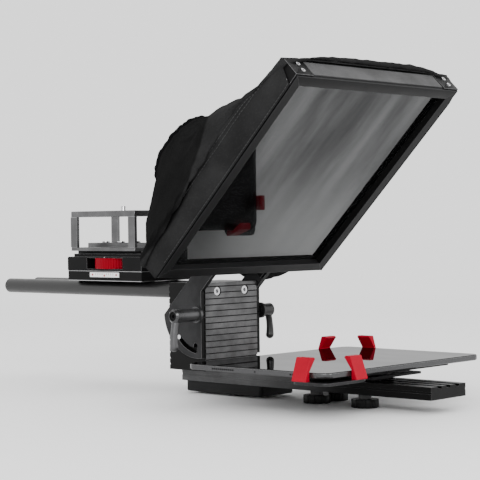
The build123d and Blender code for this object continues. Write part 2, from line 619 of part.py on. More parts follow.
with BuildPart() as lock_wheel:
    with BuildSketch(Plane.XY.offset(WHEEL_Z)):
        with Locations((WHEEL_X, WHEEL_Y)):
            Circle(WHEEL_R)
            Circle(3 + RUN_FIT, mode=Mode.SUBTRACT)
            with PolarLocations(WHEEL_R + 0.4, 60):
                Circle(1.0, mode=Mode.SUBTRACT)
    extrude(amount=WHEEL_THICK)
save(lock_wheel.part, "lock_wheel")

with BuildPart() as index_strip:
    with BuildSketch(side_plane(-SLED_WIDTH / 2)):
        with Locations((WHEEL_Y, SLED_Z + 8)):
            Rectangle(54, 6)
    extrude(amount=-0.5)
save(index_strip.part, "index_strip")

with BuildPart() as sled_screws:
    with BuildSketch(Plane.XY.offset(SLED_Z + 2)):
        with Locations((0, SLED_MID)):
            with GridLocations(SLED_WIDTH - 20, SLED_LENGTH - 24, 2, 2):
                Circle(2)
    extrude(amount=SLED_THICK - 2.2)
save(sled_screws.part, "sled_screws")

# ---------------------------------------------------------------- camera riser
with BuildPart() as dovetail_plate:
    with BuildSketch(front_plane(RISER_FRONT + RISER_LENGTH)):
        with BuildLine():
            Polyline((-25.4, RISER_Z), (25.4, RISER_Z), (25.4, BODY_STEP_TOP), (28, WAY_FLOOR + GAP),
                     (-28, WAY_FLOOR + GAP), (-25.4, BODY_STEP_TOP), close=True)
        make_face()
    extrude(amount=RISER_LENGTH)
save(dovetail_plate.part, "dovetail_plate")

with BuildPart() as riser_bottom_plate:
    with BuildSketch(Plane.XY.offset(RISER_Z)):
        with Locations((0, RISER_MID)):
            RectangleRounded(RISER_WIDTH, RISER_LENGTH, 2)
    extrude(amount=RISER_PLATE)
    chamfer(riser_bottom_plate.edges().group_by(Axis.Z)[-1], 0.6)
save(riser_bottom_plate.part, "riser_bottom_plate")

with BuildPart() as riser_posts:
    with BuildSketch(Plane.XY.offset(RISER_Z + RISER_PLATE)):
        with Locations((0, RISER_MID)):
            with GridLocations(RISER_WIDTH - POST_THICK, RISER_LENGTH - POST_LENGTH, 2, 2):
                Rectangle(POST_THICK, POST_LENGTH)
    extrude(amount=POST_TOP - RISER_Z - RISER_PLATE)
save(riser_posts.part, "riser_posts")

with BuildPart() as riser_top_plate:
    with BuildSketch(Plane.XY.offset(POST_TOP)):
        with Locations((0, RISER_MID)):
            RectangleRounded(RISER_WIDTH, RISER_LENGTH, 2)
    extrude(amount=RISER_TOP - POST_TOP)
    chamfer(riser_top_plate.edges().group_by(Axis.Z)[-1], 0.8)
    # captive screw: clearance hole and a wider pocket below for its head
    with BuildSketch(Plane.XY.offset(POST_TOP)):
        with Locations((0, RISER_MID)):
            Circle(CAMERA_SHANK_R + RUN_FIT)
    extrude(amount=RISER_TOP - POST_TOP, mode=Mode.SUBTRACT)
    with BuildSketch(Plane.XY.offset(POST_TOP)):
        with Locations((0, RISER_MID)):
            Circle(9)
    extrude(amount=3.4, mode=Mode.SUBTRACT)
save(riser_top_plate.part, "riser_top_plate")

with BuildPart() as riser_rib:
    with BuildSketch(Plane.XY.offset(RISER_Z + RISER_PLATE)):
        with Locations((0, RISER_MID)):
            Rectangle(20, RISER_LENGTH - 4)
    extrude(amount=5.6)
    chamfer(riser_rib.edges().group_by(Axis.Z)[-1], 0.5)
save(riser_rib.part, "riser_rib")

RIB_TOP = RISER_Z + RISER_PLATE + 5.6
with BuildPart() as riser_rib_screws:
    with BuildSketch(Plane.XY.offset(RIB_TOP)):
        with Locations(*[(0, RISER_MID + dy) for dy in (-24, 5, 34)]):
            Circle(5)
            RegularPolygon(2, 6, mode=Mode.SUBTRACT)
    extrude(amount=2)
save(riser_rib_screws.part, "riser_rib_screws")

with BuildPart() as camera_screw:
    with BuildSketch(Plane.XY.offset(POST_TOP + 0.4)):
        with Locations((0, RISER_MID)):
            Circle(8)
            Rectangle(16, 1.8, mode=Mode.SUBTRACT)
    extrude(amount=1.5)
    with BuildSketch(Plane.XY.offset(POST_TOP + 1.9)):
        with Locations((0, RISER_MID)):
            Circle(8)
    extrude(amount=1.2)
    with BuildSketch(Plane.XY.offset(POST_TOP + 3.1)):
        with Locations((0, RISER_MID)):
            Circle(CAMERA_SHANK_R)
    extrude(amount=RISER_TOP - POST_TOP - 3.1)
    with BuildSketch(Plane.XY.offset(RISER_TOP)):
        with Locations((0, RISER_MID)):
            Circle(CAMERA_SCREW_R)
    extrude(amount=CAMERA_SCREW_OUT)
save(camera_screw.part, "camera_screw")

# ================================================================ tablet carriage
CARRIAGE_Z = RAIL_TOP + GAP
CARRIAGE_THICK = ARM_Z - 0.2 - CARRIAGE_Z
CARRIAGE_MID = CARRIAGE_FRONT + CARRIAGE_LENGTH / 2

with BuildPart() as carriage_plate:
    # a narrow foot that slides on the rail, and a thin plate on top of it
    with BuildSketch(Plane.XY.offset(CARRIAGE_Z)):
        with Locations((0, CARRIAGE_MID)):
            RectangleRounded(CARRIAGE_FOOT_WIDTH, CARRIAGE_FOOT_LENGTH, 3)
    extrude(amount=CARRIAGE_THICK - CARRIAGE_LEAF)
    with BuildSketch(Plane.XY.offset(CARRIAGE_Z + CARRIAGE_THICK - CARRIAGE_LEAF)):
        with Locations((0, CARRIAGE_MID)):
            RectangleRounded(CARRIAGE_WIDTH, CARRIAGE_LENGTH, 3)
    extrude(amount=CARRIAGE_LEAF)
    with Locations(*[(x, y, CARRIAGE_Z) for _, x, y in KNOB_PLACES]):
        Hole(3 + RUN_FIT)
save(carriage_plate.part, "carriage_plate")

for knob_name, knob_x, knob_y in KNOB_PLACES:
    with BuildPart() as knob:
        add(lobed_knob(Plane(origin=(knob_x, knob_y, KNOB_Z), z_dir=(0, 0, 1)), KNOB_R, KNOB_HEIGHT, 10))
        with BuildSketch(Plane.XY.offset(KNOB_Z + KNOB_HEIGHT)):
            with Locations((knob_x, knob_y)):
                Circle(COLLAR_R)
        extrude(amount=RAIL_Z - GAP - KNOB_Z - KNOB_HEIGHT)
        with BuildSketch(Plane.XY.offset(RAIL_Z - GAP)):
            with Locations((knob_x, knob_y)):
                Circle(3)
        extrude(amount=CARRIAGE_Z + CARRIAGE_THICK - RAIL_Z - 0.5)
    save(knob.part, knob_name)

# The clamp's arms run from the middle of the tablet to two opposite corners.
ARM_ANGLE = degrees(atan2(TABLET_LENGTH, TABLET_WIDTH))
ARM_START = 24
ARM_REACH = sqrt((TABLET_WIDTH / 2) ** 2 + (TABLET_LENGTH / 2) ** 2) - 22
ARM_SCREW_R, ARM_LOCK_AT, ARM_LOCK_Z = 2.5, 70, 26
ARM_SLOT_LENGTH = ARM_TRAVEL + 2 * ARM_SCREW_R + 2 * GAP


# distance of each arm's two clips from the tablet's corner, along the side and along the end
CLIP_SETBACKS = {-1: (30, 51), 1: (35, 38)}
FOOT_OUT, FOOT_WIDTH, FOOT_CORNER_R = 7.4, 32, 8


def arm_plane(z, sign):
    """A plane centred under the tablet, its local x along the arm; sign -1 is the near arm."""
    turn = radians(ARM_ANGLE)
    return Plane(origin=(0, TABLET_MID_Y, z), x_dir=(sign * cos(turn), sign * sin(turn), 0), z_dir=(0, 0, 1))


def arm_point(sign, along):
    """World (x, y) of a point at a distance along one arm's centre line."""
    place = arm_plane(0, sign).from_local_coords(Vector(along, 0, 0))
    return place.X, place.Y


def corner_arm(sign):
    """A flat arm with a lengthways slot and an angled foot round one corner of the tablet."""
    corner_x, corner_y = sign * TABLET_WIDTH / 2, TABLET_MID_Y + sign * TABLET_LENGTH / 2
    side_setback, end_setback = CLIP_SETBACKS[sign]
    foot_x, foot_y = [setback + CLIP_WIDTH / 2 + FOOT_OUT + 1 for setback in (end_setback, side_setback)]
    with BuildPart() as arm:
        with BuildSketch(arm_plane(ARM_Z, sign)):
            with Locations(((ARM_START + ARM_REACH) / 2, 0)):
                Rectangle(ARM_REACH - ARM_START, ARM_WIDTH)
        extrude(amount=ARM_THICK)
        with BuildSketch(Plane.XY.offset(ARM_Z)):
            for size_x, size_y in ((FOOT_WIDTH, foot_y), (foot_x, FOOT_WIDTH)):
                with Locations((corner_x + sign * (FOOT_OUT - size_x / 2),
                                corner_y + sign * (FOOT_OUT - size_y / 2))):
                    RectangleRounded(size_x, size_y, FOOT_CORNER_R)
        extrude(amount=ARM_THICK)
        with BuildSketch(arm_plane(ARM_Z, sign)):
            # the lock's stem stands at the slot's outer end while the arms are closed
            with Locations((ARM_LOCK_AT - ARM_TRAVEL / 2, 0)):
                SlotOverall(ARM_SLOT_LENGTH, 2 * (ARM_SCREW_R + GAP))
        extrude(amount=ARM_THICK, mode=Mode.SUBTRACT)
    return arm.part


def clip(center_x, center_y, out_x, out_y):
    """A red clip: a tab that rises outside the tablet's edge and leans in over the screen."""
    # profile in (outwards from the tablet's edge, height)
    foot = ARM_Z + ARM_THICK
    profile = [(0.4, foot), (7.4, foot), (7.4, foot + 1.6), (-0.8, CLIP_TOP), (-7.4, CLIP_TOP),
               (-9, CLIP_TOP - 1.8), (-7.4, CLIP_TOP - 3.6), (0.4, TABLET_Z + TABLET_THICK + 0.6)]
    with BuildPart() as tab:
        with BuildSketch(Plane(origin=(center_x, center_y, 0), x_dir=(out_x, out_y, 0),
                               z_dir=(out_y, -out_x, 0))):
            with BuildLine():
                Polyline(*profile, close=True)
            make_face()
        extrude(amount=CLIP_WIDTH / 2, both=True)
    return tab.part


with BuildPart() as tray_spacers:
    # strips that hold the tray off the carriage plate and guide the arms' edges
    with BuildSketch(arm_plane(ARM_Z - 0.2, 1)):
        for v in (-ARM_WIDTH / 2 - 3.3, ARM_WIDTH / 2 + 3.3):
            with Locations((0, v)):
                Rectangle(56, 6)
    extrude(amount=TRAY_Z - ARM_Z + 0.2)
save(tray_spacers.part, "tray_spacers")

with BuildPart() as tray:
    with BuildSketch(Plane.XY.offset(TRAY_Z)):
        with Locations((0, TABLET_MID_Y)):
            RectangleRounded(TRAY_WIDTH, TRAY_LENGTH, 6)
        with Locations(*[arm_point(sign, ARM_LOCK_AT) for sign in (-1, 1)]):
            Circle(ARM_SCREW_R + RUN_FIT, mode=Mode.SUBTRACT)
    extrude(amount=TRAY_THICK)
save(tray.part, "tray")

with BuildPart() as tray_pads:
    with BuildSketch(Plane.XY.offset(TRAY_Z + TRAY_THICK)):
        with Locations((0, TABLET_MID_Y)):
            with GridLocations(TRAY_WIDTH - 30, TRAY_LENGTH - 30, 2, 2):
                RectangleRounded(22, 22, 4)
    extrude(amount=TABLET_Z - TRAY_Z - TRAY_THICK)
save(tray_pads.part, "tray_pads")

# sign -1 is the near left corner, +1 the far right corner
for sign, word in ((-1, "near"), (1, "far")):
    save(corner_arm(sign), f"corner_arm_{word}")
    edge_x, edge_y = sign * TABLET_WIDTH / 2, TABLET_MID_Y + sign * TABLET_LENGTH / 2
    side_setback, end_setback = CLIP_SETBACKS[sign]
    save(clip(edge_x, edge_y - sign * side_setback, sign, 0), f"clip_side_{word}")
    save(clip(edge_x - sign * end_setback, edge_y, 0, sign), f"clip_end_{word}")
    with BuildPart() as arm_lock:
        lock_x, lock_y = arm_point(sign, ARM_LOCK_AT)
        knob_plane = Plane(origin=(lock_x, lock_y, ARM_LOCK_Z), z_dir=(0, 0, 1))
        add(lobed_knob(knob_plane, 8, ARM_Z - GAP - ARM_LOCK_Z, 8))
        with BuildSketch(Plane.XY.offset(ARM_Z - GAP)):
            with Locations((lock_x, lock_y)):
                Circle(ARM_SCREW_R)
        extrude(amount=TRAY_Z + TRAY_THICK - 0.2 - ARM_Z + GAP)
    save(arm_lock.part, f"arm_lock_knob_{word}")

with BuildPart() as tablet_body:
    with BuildSketch(Plane.XY.offset(TABLET_Z)):
        with Locations((0, TABLET_MID_Y)):
            RectangleRounded(TABLET_WIDTH, TABLET_LENGTH, TABLET_CORNER_R)
    extrude(amount=TABLET_THICK - 0.8)
    chamfer(tablet_body.edges().group_by(Axis.Z)[0], 1)
save(tablet_body.part, "tablet_body")

with BuildPart() as tablet_screen:
    with BuildSketch(Plane.XY.offset(TABLET_Z + TABLET_THICK - 0.8)):
        with Locations((0, TABLET_MID_Y)):
            RectangleRounded(TABLET_WIDTH - 1, TABLET_LENGTH - 1, TABLET_CORNER_R - 0.5)
    extrude(amount=0.8)
save(tablet_screen.part, "tablet_screen")
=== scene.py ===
import math

import bpy
import numpy as np
from mathutils import Matrix, Vector, noise


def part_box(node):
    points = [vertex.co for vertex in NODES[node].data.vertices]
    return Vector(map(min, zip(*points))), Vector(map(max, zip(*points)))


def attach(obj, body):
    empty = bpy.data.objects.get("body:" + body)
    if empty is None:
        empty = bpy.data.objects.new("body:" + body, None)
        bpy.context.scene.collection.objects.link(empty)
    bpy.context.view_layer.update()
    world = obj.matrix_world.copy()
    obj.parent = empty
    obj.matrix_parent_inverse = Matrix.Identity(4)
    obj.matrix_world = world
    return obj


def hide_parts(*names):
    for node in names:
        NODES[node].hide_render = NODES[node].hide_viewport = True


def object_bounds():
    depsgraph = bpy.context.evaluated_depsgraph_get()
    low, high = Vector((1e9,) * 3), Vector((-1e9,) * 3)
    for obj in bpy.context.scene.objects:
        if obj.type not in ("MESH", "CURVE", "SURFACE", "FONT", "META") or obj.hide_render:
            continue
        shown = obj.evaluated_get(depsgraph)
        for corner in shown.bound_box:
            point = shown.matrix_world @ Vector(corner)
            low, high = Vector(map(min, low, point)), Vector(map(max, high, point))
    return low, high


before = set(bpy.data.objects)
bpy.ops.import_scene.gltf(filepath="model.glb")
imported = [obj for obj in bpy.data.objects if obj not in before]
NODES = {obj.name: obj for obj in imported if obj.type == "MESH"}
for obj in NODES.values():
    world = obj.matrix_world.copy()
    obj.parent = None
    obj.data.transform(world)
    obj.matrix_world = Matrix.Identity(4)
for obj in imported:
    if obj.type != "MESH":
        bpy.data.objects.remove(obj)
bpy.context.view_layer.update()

MM = 0.001
SLOPE = math.sqrt(0.5)                # sine and cosine of the frame's 45 degree lean


# ------------------------------------------------------------------ shader helpers
class Tree:
    """A material's node tree with short calls for the nodes that are used here."""

    def __init__(self, name):
        self.mat = bpy.data.materials.new(name)
        self.mat.use_nodes = True
        self.nodes, self.links = self.mat.node_tree.nodes, self.mat.node_tree.links
        self.bsdf = self.nodes["Principled BSDF"]
        self.out = self.nodes["Material Output"]
        self.coords = self.nodes.new("ShaderNodeTexCoord")

    def put(self, socket, value):
        if hasattr(value, "is_output"):
            self.links.new(value, socket)
        elif isinstance(value, (tuple, list)) and len(value) == 3 and len(socket.default_value) == 4:
            socket.default_value = (*value, 1.0)
        else:
            socket.default_value = value

    def stretch(self, scale):
        node = self.nodes.new("ShaderNodeMapping")
        node.inputs["Scale"].default_value = scale
        self.links.new(self.coords.outputs["Object"], node.inputs["Vector"])
        return node.outputs["Vector"]

    def noise(self, scale, vector=None, detail=3.0, rough=0.55):
        node = self.nodes.new("ShaderNodeTexNoise")
        node.inputs["Scale"].default_value = scale
        node.inputs["Detail"].default_value = detail
        node.inputs["Roughness"].default_value = rough
        self.links.new(vector or self.coords.outputs["Object"], node.inputs["Vector"])
        return node.outputs["Fac"]

    def wave(self, scale, vector, direction):
        node = self.nodes.new("ShaderNodeTexWave")
        node.bands_direction = direction
        node.inputs["Scale"].default_value = scale
        node.inputs["Distortion"].default_value = 0.6
        node.inputs["Detail"].default_value = 1.0
        self.links.new(vector, node.inputs["Vector"])
        return node.outputs["Fac"]

    def ramp(self, value, low, high, to_low=0.0, to_high=1.0, smooth=False):
        node = self.nodes.new("ShaderNodeMapRange")
        if smooth:
            node.interpolation_type = "SMOOTHSTEP"
        self.put(node.inputs["Value"], value)
        limits = {"From Min": low, "From Max": high, "To Min": to_low, "To Max": to_high}
        for name, number in limits.items():
            node.inputs[name].default_value = number
        return node.outputs["Result"]

    def math(self, kind, a, b=0.0):
        node = self.nodes.new("ShaderNodeMath")
        node.operation = kind
        self.put(node.inputs[0], a)
        self.put(node.inputs[1], b)
        return node.outputs["Value"]

    def mix(self, factor, a, b):
        node = self.nodes.new("ShaderNodeMix")
        node.data_type = "RGBA"
        self.put(node.inputs["Factor"], factor)
        self.put(node.inputs[6], a)
        self.put(node.inputs[7], b)
        return node.outputs[2]

    def axis(self, name, source="Object"):
        node = self.nodes.new("ShaderNodeSeparateXYZ")
        self.links.new(self.coords.outputs[source], node.inputs["Vector"])
        return node.outputs[name]

    def bump(self, height, strength, distance):
        node = self.nodes.new("ShaderNodeBump")
        node.inputs["Strength"].default_value = strength
        node.inputs["Distance"].default_value = distance
        self.links.new(height, node.inputs["Height"])
        self.links.new(node.outputs["Normal"], self.bsdf.inputs["Normal"])


MOTTLE_SCALE = 40.0
GRAIN_DEPTH = 0.0003
UNEVEN_GLOSS = 0.05


def surface(name, color, rough, metallic=0.0, grain=1400.0, relief=0.12, along=(1, 1, 1), vary=0.22,
            shine=0.12, dark=None, sheen=0.0):
    """A finish with fine grain, slow mottling and uneven gloss. dark gives (mask, colour) over the base:
    painted shade, a painted reflection, or the knobs' lighter collar.
    """
    t = Tree(name)
    fine = t.noise(grain, t.stretch(along))
    slow = t.noise(MOTTLE_SCALE)
    light = tuple(min(1.0, c * (1 + vary)) for c in color)
    deep = tuple(c * (1 - vary) for c in color)
    tone = t.mix(t.ramp(slow, 0.35, 0.65), deep, light)
    tone = t.mix(t.ramp(fine, 0.3, 0.7, 0.0, 0.5), tone, tuple(c * (1 - 1.6 * vary) for c in color))
    if dark:
        mask, shade = dark(t)
        tone = t.mix(mask, tone, shade)
    t.put(t.bsdf.inputs["Base Color"], tone)
    slow_gloss = t.ramp(slow, 0.3, 0.7, -UNEVEN_GLOSS, UNEVEN_GLOSS)
    fine_gloss = t.ramp(fine, 0.3, 0.7, rough - UNEVEN_GLOSS, rough + UNEVEN_GLOSS)
    t.put(t.bsdf.inputs["Roughness"], t.math("ADD", slow_gloss, fine_gloss))
    t.bsdf.inputs["Metallic"].default_value = metallic
    t.bsdf.inputs["Specular IOR Level"].default_value = shine
    t.bsdf.inputs["Sheen Weight"].default_value = sheen
    t.bump(fine, relief, GRAIN_DEPTH)
    return t.mat


def by_place(axis, low, high, shade):
    """Another shade where the object coordinate goes from low to high."""
    return lambda t: (t.ramp(t.axis(axis), low, high, smooth=True), shade)


def painted_shade_by_facing(low, high, shade):
    """Painted shade where the size of a face's normal along X goes from low to high."""
    return lambda t: (t.ramp(t.math("ABSOLUTE", t.axis("X", "Normal")), low, high), shade)


BLACK = surface("black_satin", (0.0045, 0.0045, 0.0047), 0.42, shine=0.08)
BLACK_SOFT = surface("black_blasted", (0.01, 0.01, 0.0103), 0.5)
# lighter materials for the broken edges: painted highlights along them
EDGE_HIGHLIGHT = surface("edge_highlight", (0.45, 0.45, 0.46), 0.32, 0.9, vary=0.1)
RIM_EDGE_HIGHLIGHT = surface("rim_edge_highlight", (0.03, 0.03, 0.031), 0.4, 0.6, vary=0.1)
DIM_EDGE_HIGHLIGHT = surface("dim_edge_highlight", (0.2, 0.2, 0.203), 0.38, 0.8, vary=0.1)
# painted shade darkens the block inside its grooves, and a painted reflection darkens the rail towards its
# front end
RIB_GREY = surface("ribbed_grey", (0.125, 0.125, 0.127), 0.46, 0.85, grain=2200, along=(0.3, 1, 1),
                   vary=0.35, dark=by_place("Y", 0.0111, 0.0118, (0.012, 0.012, 0.012)))
# painted shade on the wing's faces that don't look along X
WING_GREY = surface("wing_grey", (0.033, 0.033, 0.034), 0.5, 0.75, vary=0.3,
                    dark=painted_shade_by_facing(0.9, 0.6, (0.012, 0.012, 0.012)))
# painted reflection: the rail darker towards its front end
RAIL = surface("drawn_rail", (0.07, 0.07, 0.071), 0.4, 0.85, grain=2200, along=(1, 0.02, 1), relief=0.25,
               dark=by_place("Y", -0.06, -0.2, (0.007, 0.007, 0.007)))
# painted shade on the frame bars' faces that look along X
RIM = surface("rim_grey", (0.0075, 0.0075, 0.0078), 0.5, 0.0, shine=0.09,
              dark=painted_shade_by_facing(0.6, 0.9, (0.004, 0.004, 0.004)))
WALL_GREY = surface("riser_grey", (0.13, 0.13, 0.132), 0.34, 0.9, along=(1, 1, 0.05), grain=1800)
ROD = surface("rod_gloss", (0.005, 0.005, 0.005), 0.36, 0.0, grain=2600, relief=0.1, shine=0.5)
STEEL = surface("bright_steel", (0.62, 0.62, 0.63), 0.22, 1.0, grain=2400)
LEVER_GREY = surface("lever_satin", (0.085, 0.085, 0.087), 0.3, 0.75)
LEVER_BLACK = surface("lever_black", (0.008, 0.008, 0.008), 0.32, shine=0.4)
RED = surface("red_plastic", (0.31, 0.0004, 0.014), 0.42, 0.0, grain=1100, relief=0.1, vary=0.08,
              shine=0.07)
# a darker copy of the red plastic: painted shade on the lock wheel
SHADED_WHEEL_RED = surface("red_wheel_painted_shade", (0.21, 0.0002, 0.008), 0.42, 0.0, grain=1100, relief=0.1, vary=0.08,
                    shine=0.05)
KNOB = surface("knob_black", (0.005, 0.005, 0.005), 0.4, 0.0, grain=1500, relief=0.2,
               dark=by_place("Z", 0.0069, 0.0071, (0.06, 0.06, 0.06)))
RUBBER = surface("rubber", (0.006, 0.006, 0.006), 0.7, 0.0, grain=900, relief=0.3, shine=0.1)
ARM_STEEL = surface("arm_plate", (0.03, 0.03, 0.031), 0.33, 0.9)
TABLET_SIDE = surface("tablet_alloy", (0.075, 0.075, 0.077), 0.28, 0.9, grain=3000, relief=0.05, vary=0.06)
TABLET_EDGE = surface("tablet_bright_edge", (0.4, 0.4, 0.405), 0.25, 0.9, grain=3000, relief=0.05,
                      vary=0.06)
INDEX = surface("index_card", (0.8, 0.8, 0.8), 0.5, 0.0, grain=900, relief=0.05, vary=0.04)
TAPE = surface("loop_tape", (0.05, 0.05, 0.051), 0.9, 0.0, grain=1900, relief=0.9, vary=0.35, sheen=0.15)
PORT = surface("port_dark", (0.006, 0.006, 0.006), 0.6, 0.0)
THREAD = surface("thread", (0.045, 0.045, 0.046), 0.7, 0.0, grain=2500, relief=0.5)


# painted shade on the hood's rear starts at a parabola in its side view: its top in metres, its curve and
# the half width of its soft edge
SHADE_EDGE_TOP_Y, SHADE_EDGE_TOP_Z, SHADE_EDGE_CURVE, SHADE_EDGE_SPREAD = -0.0935, 0.305, 4.74, 0.0035
# colour of the painted shade on the hood's rear and its full share
PAINTED_SHADE_BLACK, PAINTED_SHADE_SHARE = (0.0006, 0.0006, 0.0006), 0.75
WEAVE_SCALE = 1100.0


def rear_painted_shade(t):
    """Share of painted shade, a deeper black, on the hood's rear behind a parabola in its side view."""
    rise = t.math("SUBTRACT", t.axis("Z"), SHADE_EDGE_TOP_Z)
    seam = t.math("MULTIPLY", t.math("MULTIPLY", rise, rise), SHADE_EDGE_CURVE)
    return t.ramp(t.math("SUBTRACT", t.axis("Y"), seam), SHADE_EDGE_TOP_Y - SHADE_EDGE_SPREAD, SHADE_EDGE_TOP_Y + SHADE_EDGE_SPREAD,
                  0.0, PAINTED_SHADE_SHARE, smooth=True)


def cloth(name, color, painted_shade=None):
    """Woven fabric on a mesh whose UV map is in metres. The last argument gives the share of a deeper black
    painted shade.
    """
    t = Tree(name)
    uv = t.coords.outputs["UV"]
    warp, weft = t.wave(WEAVE_SCALE, uv, "X"), t.wave(WEAVE_SCALE, uv, "Y")
    threads = t.math("MULTIPLY", warp, weft)
    slow, fuzz = t.noise(22.0, detail=4.0), t.noise(520.0)
    tone = t.mix(t.ramp(slow, 0.32, 0.68), tuple(c * 0.72 for c in color), tuple(c * 1.3 for c in color))
    tone = t.mix(t.ramp(threads, 0.0, 0.8, 0.45, 0.0), tone, tuple(c * 0.4 for c in color))
    tone = t.mix(t.ramp(fuzz, 0.55, 0.8, 0.0, 0.35), tone, tuple(c * 2.1 for c in color))
    if painted_shade:
        # a deeper black painted over the hood's rear as shade
        tone = t.mix(painted_shade(t), tone, PAINTED_SHADE_BLACK)
    t.put(t.bsdf.inputs["Base Color"], tone)
    t.bsdf.inputs["Specular IOR Level"].default_value = 0.0
    t.bsdf.inputs["Sheen Weight"].default_value = 0.012
    t.put(t.bsdf.inputs["Roughness"], t.ramp(fuzz, 0.3, 0.7, 0.72, 0.9))
    t.bsdf.inputs["Sheen Roughness"].default_value = 0.45
    crease = t.math("MULTIPLY", t.noise(55.0, t.stretch((1, 1, 0.6)), detail=7.0, rough=0.62), 9.0)
    t.bump(t.math("ADD", crease, t.math("ADD", threads, fuzz)), 0.35, 0.0006)
    return t.mat


def beam_splitter():
    """Glass with a part-mirror coating, smeared and a little dusty, that mirrors more low down."""
    t = Tree("beam_splitter")
    clear = t.nodes.new("ShaderNodeBsdfTransparent")
    clear.inputs["Color"].default_value = (0.5, 0.51, 0.51, 1)
    mirror = t.nodes.new("ShaderNodeBsdfGlossy")
    smear = t.noise(9.0, t.stretch((1, 0.35, 0.35)), detail=5.0)
    streak = t.noise(17.0, t.stretch((1, 0.16, 0.16)), detail=4.0)
    upper = t.mix(t.ramp(streak, 0.34, 0.66, smooth=True), (0.1, 0.101, 0.102), (0.25, 0.252, 0.254))
    low_down = t.ramp(t.axis("Z"), 0.3, 0.17, 0.0, 0.75, smooth=True)
    t.put(mirror.inputs["Color"], t.mix(low_down, upper, (0.34, 0.343, 0.345)))
    mirror.inputs["Roughness"].default_value = 0.0
    haze = t.nodes.new("ShaderNodeBsdfDiffuse")
    haze.inputs["Color"].default_value = (0.35, 0.36, 0.37, 1)
    coat = t.nodes.new("ShaderNodeMixShader")
    coat.inputs["Fac"].default_value = 0.4
    dusty = t.nodes.new("ShaderNodeMixShader")
    t.put(dusty.inputs["Fac"], t.ramp(smear, 0.3, 0.8, 0.0, 0.02))
    t.links.new(clear.outputs[0], coat.inputs[1])
    t.links.new(mirror.outputs[0], coat.inputs[2])
    t.links.new(coat.outputs[0], dusty.inputs[1])
    t.links.new(haze.outputs[0], dusty.inputs[2])
    t.links.new(dusty.outputs[0], t.out.inputs["Surface"])
    t.nodes.remove(t.bsdf)
    return t.mat


def screen_glass():
    """Glossy dark cover glass that mirrors little from above and more at a low angle, with faint smears."""
    t = Tree("tablet_cover")
    mirror = t.nodes.new("ShaderNodeBsdfGlossy")
    smear = t.noise(14.0, t.stretch((1, 0.4, 1)), detail=5.0)
    angle = t.nodes.new("ShaderNodeLayerWeight")
    angle.inputs["Blend"].default_value = 0.5
    low_angle = t.mix(t.ramp(smear, 0.35, 0.7), (0.27, 0.27, 0.272), (0.32, 0.32, 0.322))
    share = t.ramp(angle.outputs["Facing"], 0.4, 0.95, smooth=True)
    t.put(mirror.inputs["Color"], t.mix(share, (0.02, 0.02, 0.02), low_angle))
    t.put(mirror.inputs["Roughness"], t.ramp(smear, 0.35, 0.75, 0.015, 0.04))
    t.links.new(mirror.outputs[0], t.out.inputs["Surface"])
    t.nodes.remove(t.bsdf)
    return t.mat


GLASS = beam_splitter()
TABLET_FACE = screen_glass()

# ------------------------------------------------------------------ finishes of the CAD nodes
WELD_DISTANCE = 0.01                  # mm; the nodes' faces come in unjoined
SHARP_ANGLE = 50                      # degrees; an edge sharper than this is broken

